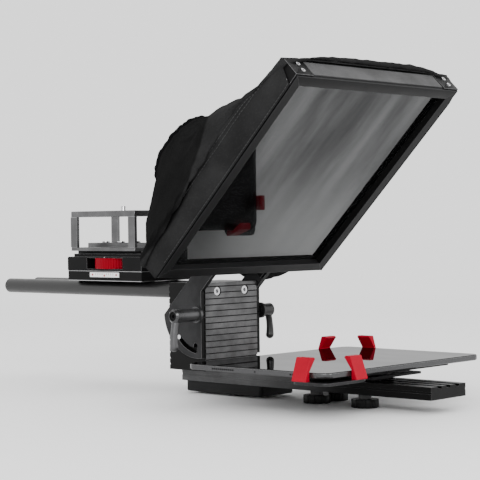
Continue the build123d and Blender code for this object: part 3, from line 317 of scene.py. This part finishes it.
# node: (material, material of its broken edges, bevel width in mm); a lighter edge material is a painted
# highlight
FINISHES = {
    "base_plate": (BLACK_SOFT, DIM_EDGE_HIGHLIGHT, 0.4),
    "base_rail": (RAIL, DIM_EDGE_HIGHLIGHT, 0.3),
    "riser_block": (RIB_GREY, DIM_EDGE_HIGHLIGHT, 0.3),
    "underside_screws": (STEEL, STEEL, 0.0),
    "rod_screws": (STEEL, STEEL, 0.2),
    "rod_left": (ROD, ROD, 0.0),
    "rod_right": (ROD, ROD, 0.0),
    "rod_end_caps": (RUBBER, RUBBER, 0.3),
    "pivot_studs": (BLACK, BLACK, 0.0),
    "guide_pins": (STEEL, STEEL, 0.2),
    "lever_left": (LEVER_GREY, LEVER_GREY, 0.0),
    "lever_right": (LEVER_BLACK, LEVER_BLACK, 0.0),
    "wing_left": (WING_GREY, DIM_EDGE_HIGHLIGHT, 0.3),
    "wing_right": (WING_GREY, DIM_EDGE_HIGHLIGHT, 0.3),
    "frame_feet": (BLACK, DIM_EDGE_HIGHLIGHT, 0.2),
    "foot_screws": (STEEL, STEEL, 0.0),
    "frame_bar_top": (RIM, RIM_EDGE_HIGHLIGHT, 0.4),
    "frame_bar_right": (RIM, RIM_EDGE_HIGHLIGHT, 0.4),
    "frame_bar_bottom": (RIM, RIM_EDGE_HIGHLIGHT, 0.4),
    "frame_bar_left": (RIM, RIM_EDGE_HIGHLIGHT, 0.4),
    "glass_retainers": (BLACK, DIM_EDGE_HIGHLIGHT, 0.2),
    "beam_splitter_glass": (GLASS, GLASS, 0.0),
    "corner_brackets": (BLACK, DIM_EDGE_HIGHLIGHT, 0.2),
    "bracket_screws": (STEEL, STEEL, 0.0),
    "hook_tapes": (TAPE, TAPE, 0.0),
    "sled_base": (BLACK, EDGE_HIGHLIGHT, 0.8),
    "sled_tongue": (BLACK, DIM_EDGE_HIGHLIGHT, 0.4),
    "sled_clamp_knob": (RUBBER, RUBBER, 0.3),
    "quick_release_body": (BLACK, EDGE_HIGHLIGHT, 0.8),
    "lock_wheel_axle": (STEEL, STEEL, 0.0),
    "lock_wheel": (SHADED_WHEEL_RED, SHADED_WHEEL_RED, 0.0),
    "index_strip": (INDEX, INDEX, 0.0),
    "sled_screws": (STEEL, STEEL, 0.0),
    "dovetail_plate": (BLACK, DIM_EDGE_HIGHLIGHT, 0.3),
    "riser_bottom_plate": (WALL_GREY, EDGE_HIGHLIGHT, 0.3),
    "riser_posts": (WALL_GREY, EDGE_HIGHLIGHT, 0.3),
    "riser_top_plate": (WALL_GREY, EDGE_HIGHLIGHT, 0.3),
    "riser_rib": (WALL_GREY, EDGE_HIGHLIGHT, 0.3),
    "riser_rib_screws": (STEEL, STEEL, 0.2),
    "camera_screw": (STEEL, STEEL, 0.2),
    "carriage_plate": (BLACK, DIM_EDGE_HIGHLIGHT, 0.4),
    "tray_spacers": (BLACK, DIM_EDGE_HIGHLIGHT, 0.2),
    "tray": (BLACK, DIM_EDGE_HIGHLIGHT, 0.3),
    "tray_pads": (RUBBER, RUBBER, 0.2),
    "corner_arm_near": (ARM_STEEL, DIM_EDGE_HIGHLIGHT, 0.3),
    "corner_arm_far": (ARM_STEEL, DIM_EDGE_HIGHLIGHT, 0.3),
    "clip_side_near": (RED, RED, 0.7),
    "clip_end_near": (RED, RED, 0.7),
    "clip_side_far": (RED, RED, 0.7),
    "clip_end_far": (RED, RED, 0.7),
    "knob_front": (KNOB, KNOB, 0.5),
    "knob_rear_left": (KNOB, KNOB, 0.5),
    "knob_rear_right": (KNOB, KNOB, 0.5),
    "arm_lock_knob_near": (RUBBER, RUBBER, 0.3),
    "arm_lock_knob_far": (RUBBER, RUBBER, 0.3),
    "tablet_body": (TABLET_SIDE, TABLET_EDGE, 0.35),
    "tablet_screen": (TABLET_FACE, PORT, 0.2),
}

for name, (main, edge, width) in FINISHES.items():
    node = NODES[name]
    node.data.materials.clear()
    node.data.materials.append(main)
    node.data.materials.append(edge)
    if width:
        weld = node.modifiers.new("joined_faces", "WELD")
        weld.merge_threshold = WELD_DISTANCE * MM
        bevel = node.modifiers.new("broken_edges", "BEVEL")
        bevel.width = width * MM
        bevel.segments = 2
        bevel.limit_method = "ANGLE"
        bevel.angle_limit = math.radians(SHARP_ANGLE)
        bevel.harden_normals = True
        # the broken edges take the second material, a painted highlight where it is lighter than the part
        bevel.material = 1


# ------------------------------------------------------------------ mesh helpers
def mesh_object(name, points, faces, material, body, smooth=True, uv=None):
    """A mesh piece in the row frame that rides on a body. uv holds one (u, v) for each point."""
    mesh = bpy.data.meshes.new(name)
    mesh.from_pydata([tuple(p) for p in points], [], faces)
    mesh.materials.append(material)
    if uv is not None:
        layer = mesh.uv_layers.new(name="cut")
        index = np.empty(len(mesh.loops), int)
        mesh.loops.foreach_get("vertex_index", index)
        layer.data.foreach_set("uv", np.asarray(uv, np.float32)[index].ravel())
    mesh.update()
    if smooth:
        mesh.shade_smooth()
    obj = bpy.data.objects.new(name, mesh)
    bpy.context.scene.collection.objects.link(obj)
    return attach(obj, body)


def grid_faces(rows, columns):
    """Quads of a grid of points, rows by columns, joined round each row."""
    return [(i * columns + j, i * columns + (j + 1) % columns, (i + 1) * columns + (j + 1) % columns,
             (i + 1) * columns + j) for i in range(rows - 1) for j in range(columns)]


RIM_FOOT_Y, RIM_FOOT_Z = 11, 123      # where the slope's own coordinates start


def slope(x, s, d):
    """Row-frame point, in mm, from across, up the slope and behind the rim."""
    return np.array([x, RIM_FOOT_Y + (d - s) * SLOPE, RIM_FOOT_Z + (d + s) * SLOPE])


# ------------------------------------------------------------------ fabric hood
# all lengths in mm
SIDE_POINTS = 44                      # points along each of the hood's four sides
FRAME_MID = 176.0                     # middle of the frame, up the slope
WALL_X, WALL_S = 144.2, 150           # half width and half height of the frame's outer walls
TOP_DEPTH = 24.5                      # depth at which the fabric starts on the top and bottom walls
FLAP_SLACK = 8.5                      # how far the flaps stand off the middle of the side walls
# flap lines: (depth behind the rim, distance off the wall, share of the slack)
FLAP_LINES = ((-1.4, 0.9, 0.0), (11.0, 2.4, 0.8), (26.0, 2.8, 0.75), (31.0, 3.2, 1.0))
# the shoulder at the sides: (q, y, z, x)
SHOULDER_SIDE = ((-1, 12, 156, 147), (-0.6, -24, 194, 153), (-0.2, -60, 232, 156.5), (0.2, -80, 262, 156),
                 (0.6, -89, 296, 152), (1, -93, 322, 144))
# the lens opening's centre, lean and half axes
COLLAR_Y, COLLAR_Z, COLLAR_LEAN, COLLAR_X, COLLAR_V = 86.0, 289.0, math.radians(38), 38.0, 51.0


def loop_parameters():
    """(p, q) round a square: along the bottom, up the right, along the top, down the left."""
    t = np.arange(SIDE_POINTS) / SIDE_POINTS * 2 - 1
    one = np.ones(SIDE_POINTS)
    p = np.concatenate([t, one, -t, -one])
    q = np.concatenate([-one, t, one, -t])
    return p, q


def between(value, table):
    """Linear interpolation in a table of (key, a, b, ...)."""
    keys = [row[0] for row in table]
    return [np.interp(value, keys, [row[i] for row in table]) for i in range(1, len(table[0]))]


def hood_lines():
    """Closed key lines of the hood from the flap's front edge to the lens opening."""
    p, q = loop_parameters()
    on_side = np.abs(p) == 1
    corner = np.clip((q - 0.9) / 0.08, 0, 1)
    corner = corner * corner * (3 - 2 * corner)
    # the flaps stand a little off the side walls, most in the middle
    slack = np.where(on_side, FLAP_SLACK * (1 - q ** 4), 0)
    lines = []
    for depth, out, share in FLAP_LINES:
        front = np.where(on_side, depth + (TOP_DEPTH - depth) * corner * (depth < TOP_DEPTH),
                         max(depth, TOP_DEPTH))
        x = p * WALL_X + np.sign(p) * on_side * (out + slack * share)
        bow = np.where((q > 0) & ~on_side, 1.6 * (1 - np.abs(p) ** 5), out * ~on_side)
        s = FRAME_MID + q * WALL_S + np.sign(q) * bow
        lines.append(np.array([slope(a, b, c) for a, b, c in zip(x, s, front)]))
    # outer shoulder: low down it stays near the frame, high up it stands well behind it
    side = between(q, SHOULDER_SIDE)
    crown = 1 - p ** 2
    droop = np.exp(-((p - 0.5) / 0.3) ** 2)
    y = np.where(on_side, side[0], np.where(q > 0, -93 + 10 * crown, 12 + 8 * crown + 22 * droop))
    z = np.where(on_side, side[1], np.where(q > 0, 322 + 26 * crown, 156 - 4 * crown - 24 * droop))
    x = np.where(on_side, np.sign(p) * side[2], p * np.where(q > 0, 144, 147))
    shoulder = np.stack([x, y, z], 1)
    # lens opening
    angle = np.arctan2(q, p)
    cx, cv = np.cos(angle) * COLLAR_X, np.sin(angle) * COLLAR_V
    collar = np.stack([cx, COLLAR_Y - cv * math.sin(COLLAR_LEAN), COLLAR_Z + cv * math.cos(COLLAR_LEAN)], 1)
    middle = shoulder * 0.46 + collar * 0.54
    middle[:, 1] += 9
    middle[:, 2] -= 7 * np.where(q < 0, -q, 0) + 3
    near = shoulder * 0.14 + collar * 0.86
    near[:, 1] += 1
    lines += [shoulder, middle, near, collar]
    return lines


def through(lines, steps):
    """Points on a smooth curve through key lines, with a number of steps between each two."""
    rows = []
    for i in range(len(lines) - 1):
        a, b, c, d = lines[max(i - 1, 0)], lines[i], lines[i + 1], lines[min(i + 2, len(lines) - 1)]
        for t in np.arange(steps[i]) / steps[i]:
            rows.append(0.5 * (2 * b + (c - a) * t + (2 * a - 5 * b + 4 * c - d) * t * t
                               + (3 * b - a - 3 * c + d) * t ** 3))
    rows.append(lines[-1])
    return np.array(rows)


def grid_normals(grid):
    """Unit normals of a closed grid of points, pointing away from its axis."""
    around = np.roll(grid, -1, 1) - np.roll(grid, 1, 1)
    along = np.gradient(grid, axis=0)
    normal = np.cross(around, along)
    normal /= np.maximum(np.linalg.norm(normal, axis=2, keepdims=True), 1e-9)
    outward = grid - grid.mean(axis=1, keepdims=True)
    return normal * np.sign((normal * outward).sum())


HOOD_STEPS = (5, 5, 3, 12, 12, 7, 4)  # rows of the grid between each two key lines
SEAM_ROW = HOOD_STEPS[0] + HOOD_STEPS[1]
SHOULDER_ROW = sum(HOOD_STEPS[:4])
# sag behind the top corners: (share of the way from the seam to the shoulder), (mm)
CORNER_SAG = (0, 0.15, 0.3, 0.5, 0.8, 1), (0, 15, 15, 9, 10, 0)


def build_hood():
    """The hood's fabric as one grid of points, with folds, gathers and a sewn ridge at the seam."""
    grid = through(hood_lines(), HOOD_STEPS)
    for _ in range(2):                                    # ease the corners of the rings
        eased = (np.roll(grid, 1, 1) + 2 * grid + np.roll(grid, -1, 1)) / 4
        grid[SEAM_ROW + 3:] = eased[SEAM_ROW + 3:]
    rows, columns = grid.shape[:2]
    # the fabric sags a little between the frame's top corners and the shoulder behind them
    p, q = loop_parameters()
    high = np.clip((q - 0.55) / 0.45, 0, 1) * np.abs(p) ** 4
    reach = SHOULDER_ROW - SEAM_ROW
    for i in range(1, reach):
        grid[SEAM_ROW + i, :, 2] -= high * np.interp(i / reach, *CORNER_SAG)
    normal = grid_normals(grid)
    free = 1 - np.minimum(np.abs(p), np.abs(q)) ** 6      # nothing stands off at the frame's corners
    free *= np.where((q == 1) & (np.abs(p) < 1), 0.35, 1)  # and the top lies smoother than the sides
    depth = np.arange(rows) / (rows - 1)
    turn = np.arange(columns) / columns * 2 * math.pi
    pull_rows = (3, SEAM_ROW, SEAM_ROW + 8, SEAM_ROW + 18)
    for i in range(rows):
        gather = np.clip((depth[i] - 0.55) / 0.45, 0, 1) ** 2
        soft = np.clip((depth[i] - 0.2) / 0.2, 0, 1) * np.clip((1.02 - depth[i]) / 0.3, 0, 1)
        for j in range(columns):
            point = Vector(grid[i, j])
            long_fold = noise.noise(Vector((turn[j] * 3.1, depth[i] * 1.6, 2.0)))
            wrinkle = noise.fractal(point * 0.021, 0.9, 2.0, 3)
            pleat = math.sin(15 * turn[j] + 2.5 * noise.noise(Vector((turn[j] * 2, depth[i] * 3, 7.0))))
            pucker = noise.noise(Vector((turn[j] * 34, depth[i] * 6, 11.0)))
            lift = soft * (4.2 * long_fold + 2.6 * wrinkle) + gather * 0.5 * pleat
            near_seam = math.exp(-((i - SEAM_ROW) / 2.5) ** 2)
            pull = noise.noise(Vector((turn[j] * 13, depth[i] * 4 + turn[j] * 2, 5.0)))
            lift += near_seam * (1.3 * pucker + 0.5)
            lift += 3.2 * pull * np.interp(i, pull_rows, (0, 0.35, 1, 0)) * free[j]
            grid[i, j] += normal[i, j] * lift
    return grid


SETTLE_FRAMES, SETTLE_SHARE = 14, 0.45


def settle(obj, pinned):
    """Lets the fabric hang between its pinned rows for a short time and keeps a share of the movement."""
    group = obj.vertex_groups.new(name="sewn")
    for index, weight in enumerate(pinned):
        if weight > 0:
            group.add([index], float(weight), "REPLACE")
    modifier = obj.modifiers.new("drape", "CLOTH")
    setting = modifier.settings
    setting.quality = 6
    setting.mass = 0.25
    setting.tension_stiffness = setting.compression_stiffness = 22
    setting.shear_stiffness = 8
    setting.bending_stiffness = 0.9
    setting.vertex_group_mass = "sewn"
    setting.pin_stiffness = 1.0
    setting.shrink_min = -0.018
    modifier.collision_settings.use_collision = False
    modifier.collision_settings.use_self_collision = False
    modifier.point_cache.frame_end = SETTLE_FRAMES
    scene = bpy.context.scene
    for step in range(1, SETTLE_FRAMES + 1):
        scene.frame_set(step)
    graph = bpy.context.evaluated_depsgraph_get()
    held = obj.evaluated_get(graph)
    points = np.empty(len(held.data.vertices) * 3, np.float32)
    held.data.vertices.foreach_get("co", points)
    obj.modifiers.remove(modifier)
    start = np.empty_like(points)
    obj.data.vertices.foreach_get("co", start)
    obj.data.vertices.foreach_set("co", start + (points - start) * SETTLE_SHARE)
    obj.data.update()
    scene.frame_set(1)


hood_grid = build_hood() * MM
rows, columns = hood_grid.shape[:2]
step_u = np.linalg.norm(np.diff(hood_grid, axis=0), axis=2)
length_v = np.concatenate([[0], np.cumsum(step_u.mean(axis=1))])
FLAT_WIDTH = 1.2                      # metres of fabric round the frame
cut = [(j / columns * FLAT_WIDTH, length_v[i]) for i in range(rows) for j in range(columns)]
HOOD_CLOTH = cloth("hood_cloth", (0.0215, 0.0215, 0.0218), rear_painted_shade)
HEM_CLOTH = cloth("hem_cloth", (0.005, 0.005, 0.0052))
hood = mesh_object("hood_fabric", hood_grid.reshape(-1, 3), grid_faces(rows, columns), HOOD_CLOTH,
                   "glass_unit", uv=cut)
# the flaps and the lens opening are held, and the shoulder's seam partly
row_pin = [1.0 if i <= SEAM_ROW + 2 or i >= rows - 3 else 0.0 for i in range(rows)]
for i in range(SHOULDER_ROW - 1, SHOULDER_ROW + 2):
    row_pin[i] = 0.6
settle(hood, np.repeat(row_pin, columns))
settled = np.empty(rows * columns * 3, np.float32)
hood.data.vertices.foreach_get("co", settled)
settled = settled.reshape(rows, columns, 3).astype(float)
thick = hood.modifiers.new("cloth_thickness", "SOLIDIFY")
thick.thickness = 1.1 * MM
thick.offset = 0.0
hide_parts("hood")


def hem_radius(j, a):
    return (2.5 + 0.22 * math.sin(j * 1.1) + 0.15 * math.sin(j * 0.4 + a)) * MM


def hem_along(name, line, material, body, sides=14, flat=1.9):
    """A closed tube round a loop of points, flat times as deep along the opening as across its edge."""
    n = len(line)
    centre = line.mean(axis=0)
    points, uv = [], []
    for j in range(n):
        run = line[(j + 1) % n] - line[j - 1]
        run /= np.linalg.norm(run)
        out = line[j] - centre
        out -= run * out.dot(run)
        out /= np.linalg.norm(out)
        up = np.cross(run, out)
        for k in range(sides):
            a = 2 * math.pi * k / sides
            r = hem_radius(j, a)
            points.append(line[j] + out * math.cos(a) * r + up * math.sin(a) * r * flat)
            uv.append((j / n * 0.3, k / sides * 0.02))
    faces = [(j * sides + k, j * sides + (k + 1) % sides, ((j + 1) % n) * sides + (k + 1) % sides,
              ((j + 1) % n) * sides + k) for j in range(n) for k in range(sides)]
    return mesh_object(name, points, faces, material, body, uv=uv)


hem = hem_along("lens_hem", settled[-1], HEM_CLOTH, "glass_unit")
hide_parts("hood_collar")


STITCH_EVERY, STITCH_LENGTH, STITCH_RADIUS = 4.4 * MM, 3.2 * MM, 0.38 * MM
# along a stitch: (share of its length, share of its full thickness)
STITCH_RINGS = ((0, 0.4), (0.2, 1), (0.8, 1), (1, 0.4))


def stitches(name, line, outward, body):
    """Short threads that lie end to end along a line of points."""
    points, faces = [], []
    steps = np.linalg.norm(np.diff(line, axis=0), axis=1)
    total = np.concatenate([[0], np.cumsum(steps)])
    start = 0.0
    while start + STITCH_LENGTH < total[-1]:
        ends = [np.array([np.interp(t, total, line[:, k]) for k in range(3)])
                for t in (start, start + STITCH_LENGTH)]
        lift = np.array([np.interp(start, total, outward[:, k]) for k in range(3)])
        lift /= np.linalg.norm(lift)
        run = ends[1] - ends[0]
        run /= np.linalg.norm(run)
        side = np.cross(run, lift)
        base = len(points)
        for share, fat in STITCH_RINGS:
            centre = ends[0] + (ends[1] - ends[0]) * share + lift * STITCH_RADIUS * (fat - 0.3)
            for k in range(6):
                a = math.pi * k / 3
                points.append(centre + (side * math.cos(a) + lift * math.sin(a)) * STITCH_RADIUS * fat)
        faces += [tuple(base + k for k in range(5, -1, -1)), tuple(base + 18 + k for k in range(6))]
        faces += [tuple(base + k for k in face) for face in grid_faces(len(STITCH_RINGS), 6)]
        start += STITCH_EVERY
    return mesh_object(name, points, faces, THREAD, body)


seam_normals = grid_normals(settled)
for word, row in (("rim", 1), ("front", SEAM_ROW - 1), ("back", SEAM_ROW + 1)):
    for side, low, high in (("right", SIDE_POINTS + 2, 2 * SIDE_POINTS - 2),
                            ("left", 3 * SIDE_POINTS + 2, 4 * SIDE_POINTS - 2)):
        outward = seam_normals[row, low:high]
        line = settled[row, low:high] + outward * 0.6 * MM
        thread = stitches(f"seam_{word}_{side}", line, outward, "glass_unit")


# ------------------------------------------------------------------ small details
def side_marks(name, places, material, body, lift):
    """Flat rounded marks on a face that looks along -X. places holds (centre in mm, width, height)."""
    points, faces = [], []
    for (x, y, z), width, height in places:
        base = len(points)
        r = min(width, height) / 2
        outline = []
        for cx, cy, start in ((1, 1, 0), (-1, 1, 90), (-1, -1, 180), (1, -1, 270)):
            for k in range(5):
                a = math.radians(start + 22.5 * k)
                outline.append((cx * (width / 2 - r) + r * math.cos(a),
                                cy * (height / 2 - r) + r * math.sin(a)))
        for depth in (0, lift):
            points += [(x - depth, y - u, z + v) for u, v in outline]
        n = len(outline)
        faces.append(tuple(base + n + k for k in range(n)))
        faces += [tuple(base + k for k in face) for face in grid_faces(2, n)]
    return mesh_object(name, np.array(points) * MM, faces, material, body, smooth=False)


tablet_low, tablet_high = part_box("tablet_body")
side_x = tablet_low.x / MM
middle_z = (tablet_low.z + tablet_high.z) / 2 / MM
speaker = [((side_x, -91 - 3 * i, middle_z), 2.5, 1.9) for i in range(11)]
speaker += [((side_x, -203 - 3 * i, middle_z), 2.4, 1.9) for i in range(7)]
side_marks("tablet_ports", speaker + [((side_x, -153, middle_z), 2.0, 2.0)], PORT, "carriage", 0.12)

strip_low, strip_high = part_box("index_strip")
strip_x, strip_z = strip_low.x / MM, (strip_low.z + strip_high.z) / 2 / MM
strip_y = (strip_low.y + strip_high.y) / 2 / MM
dots = [((strip_x, strip_y + dy, strip_z + dz), 2.6, 2.6) for dy, dz in ((22, 0), (0, -1), (-22, 0))]
side_marks("index_dots", dots, RED, "sled", 0.1)
ticks = [((strip_x, strip_y + dy, strip_z + 0.8), 0.5, 2.2) for dy in range(-16, 17, 4) if dy]
side_marks("index_ticks", ticks, PORT, "sled", 0.08)
POINTER_Z = 160.4
body_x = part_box("quick_release_body")[0].x / MM
side_marks("wheel_pointer", [((body_x, strip_y, POINTER_Z), 1.6, 1.2)], INDEX, "sled", 0.15)

# ------------------------------------------------------------------ floor, light and camera
# lengths in metres
FLOOR_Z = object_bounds()[0].z - 0.0006
FLOOR_HALF = 14
FADE_START, FADE_END = 0.9, 2.6
WHITE = 1.6                           # strength of the white background


def pale_floor():
    """A pale surface that fades into the background far from the object."""
    t = Tree("pale_floor")
    t.bsdf.inputs["Roughness"].default_value = 0.7
    t.put(t.bsdf.inputs["Base Color"], t.mix(t.noise(3.0), (0.86, 0.86, 0.86), (0.9, 0.9, 0.9)))
    glow = t.nodes.new("ShaderNodeEmission")
    glow.inputs["Color"].default_value = (1, 1, 1, 1)
    glow.inputs["Strength"].default_value = WHITE
    fade = t.nodes.new("ShaderNodeMixShader")
    reach = t.nodes.new("ShaderNodeVectorMath")
    reach.operation = "LENGTH"
    t.links.new(t.coords.outputs["Object"], reach.inputs[0])
    t.put(fade.inputs["Fac"], t.ramp(reach.outputs["Value"], FADE_START, FADE_END, smooth=True))
    t.links.new(t.bsdf.outputs[0], fade.inputs[1])
    t.links.new(glow.outputs[0], fade.inputs[2])
    t.links.new(fade.outputs[0], t.out.inputs["Surface"])
    return t.mat


floor_mesh = bpy.data.meshes.new("floor")
floor_corners = [(x * FLOOR_HALF, y * FLOOR_HALF, FLOOR_Z) for x, y in ((-1, -1), (1, -1), (1, 1), (-1, 1))]
floor_mesh.from_pydata(floor_corners, [], [(0, 1, 2, 3)])
floor_mesh.materials.append(pale_floor())
floor = bpy.data.objects.new("floor", floor_mesh)
bpy.context.scene.collection.objects.link(floor)

world = bpy.data.worlds.new("studio")
bpy.context.scene.world = world
world.use_nodes = True
background = world.node_tree.nodes["Background"]
background.inputs["Color"].default_value = (1, 1, 1, 1)
background.inputs["Strength"].default_value = WHITE


def soft_light(name, place, target, size, power):
    """A large soft lamp that looks at a point."""
    data = bpy.data.lights.new(name, "AREA")
    data.shape = "RECTANGLE"
    data.size, data.size_y = size
    data.energy = power
    lamp = bpy.data.objects.new(name, data)
    lamp.location = place
    lamp.rotation_mode = "QUATERNION"
    lamp.rotation_quaternion = (Vector(target) - Vector(place)).to_track_quat("-Z", "Y")
    bpy.context.scene.collection.objects.link(lamp)


soft_light("key", (-1.8, -1.5, 1.2), (0, 0, 0.15), (1.2, 0.9), 34)
soft_light("front", (0.7, -2.0, 0.9), (0, -0.1, 0.15), (1.0, 1.0), 14)
soft_light("top", (0.3, 0.5, 2.2), (0, 0, 0.25), (1.4, 0.5), 8)

CAMERA_AT = Vector((-1.3374, -1.2418, 0.2013))
YAW, PITCH, ROLL = 0.824069, 0.01104, -0.012643
away = Vector((math.sin(YAW), math.cos(YAW), 0))
across = Vector((math.cos(YAW), -math.sin(YAW), 0))
forward = math.cos(PITCH) * away - math.sin(PITCH) * Vector((0, 0, 1))
level_up = math.cos(PITCH) * Vector((0, 0, 1)) + math.sin(PITCH) * away
right = math.cos(ROLL) * across + math.sin(ROLL) * level_up
top = math.cos(ROLL) * level_up - math.sin(ROLL) * across
lens = bpy.data.cameras.new("photo_view")
lens.sensor_width = 36.0
lens.lens = 114.555
lens.clip_start, lens.clip_end = 0.05, 60
camera = bpy.data.objects.new("photo_view", lens)
camera.matrix_world = Matrix((
    (right.x, top.x, -forward.x, CAMERA_AT.x),
    (right.y, top.y, -forward.y, CAMERA_AT.y),
    (right.z, top.z, -forward.z, CAMERA_AT.z),
    (0, 0, 0, 1)))
bpy.context.scene.collection.objects.link(camera)
bpy.context.scene.camera = camera
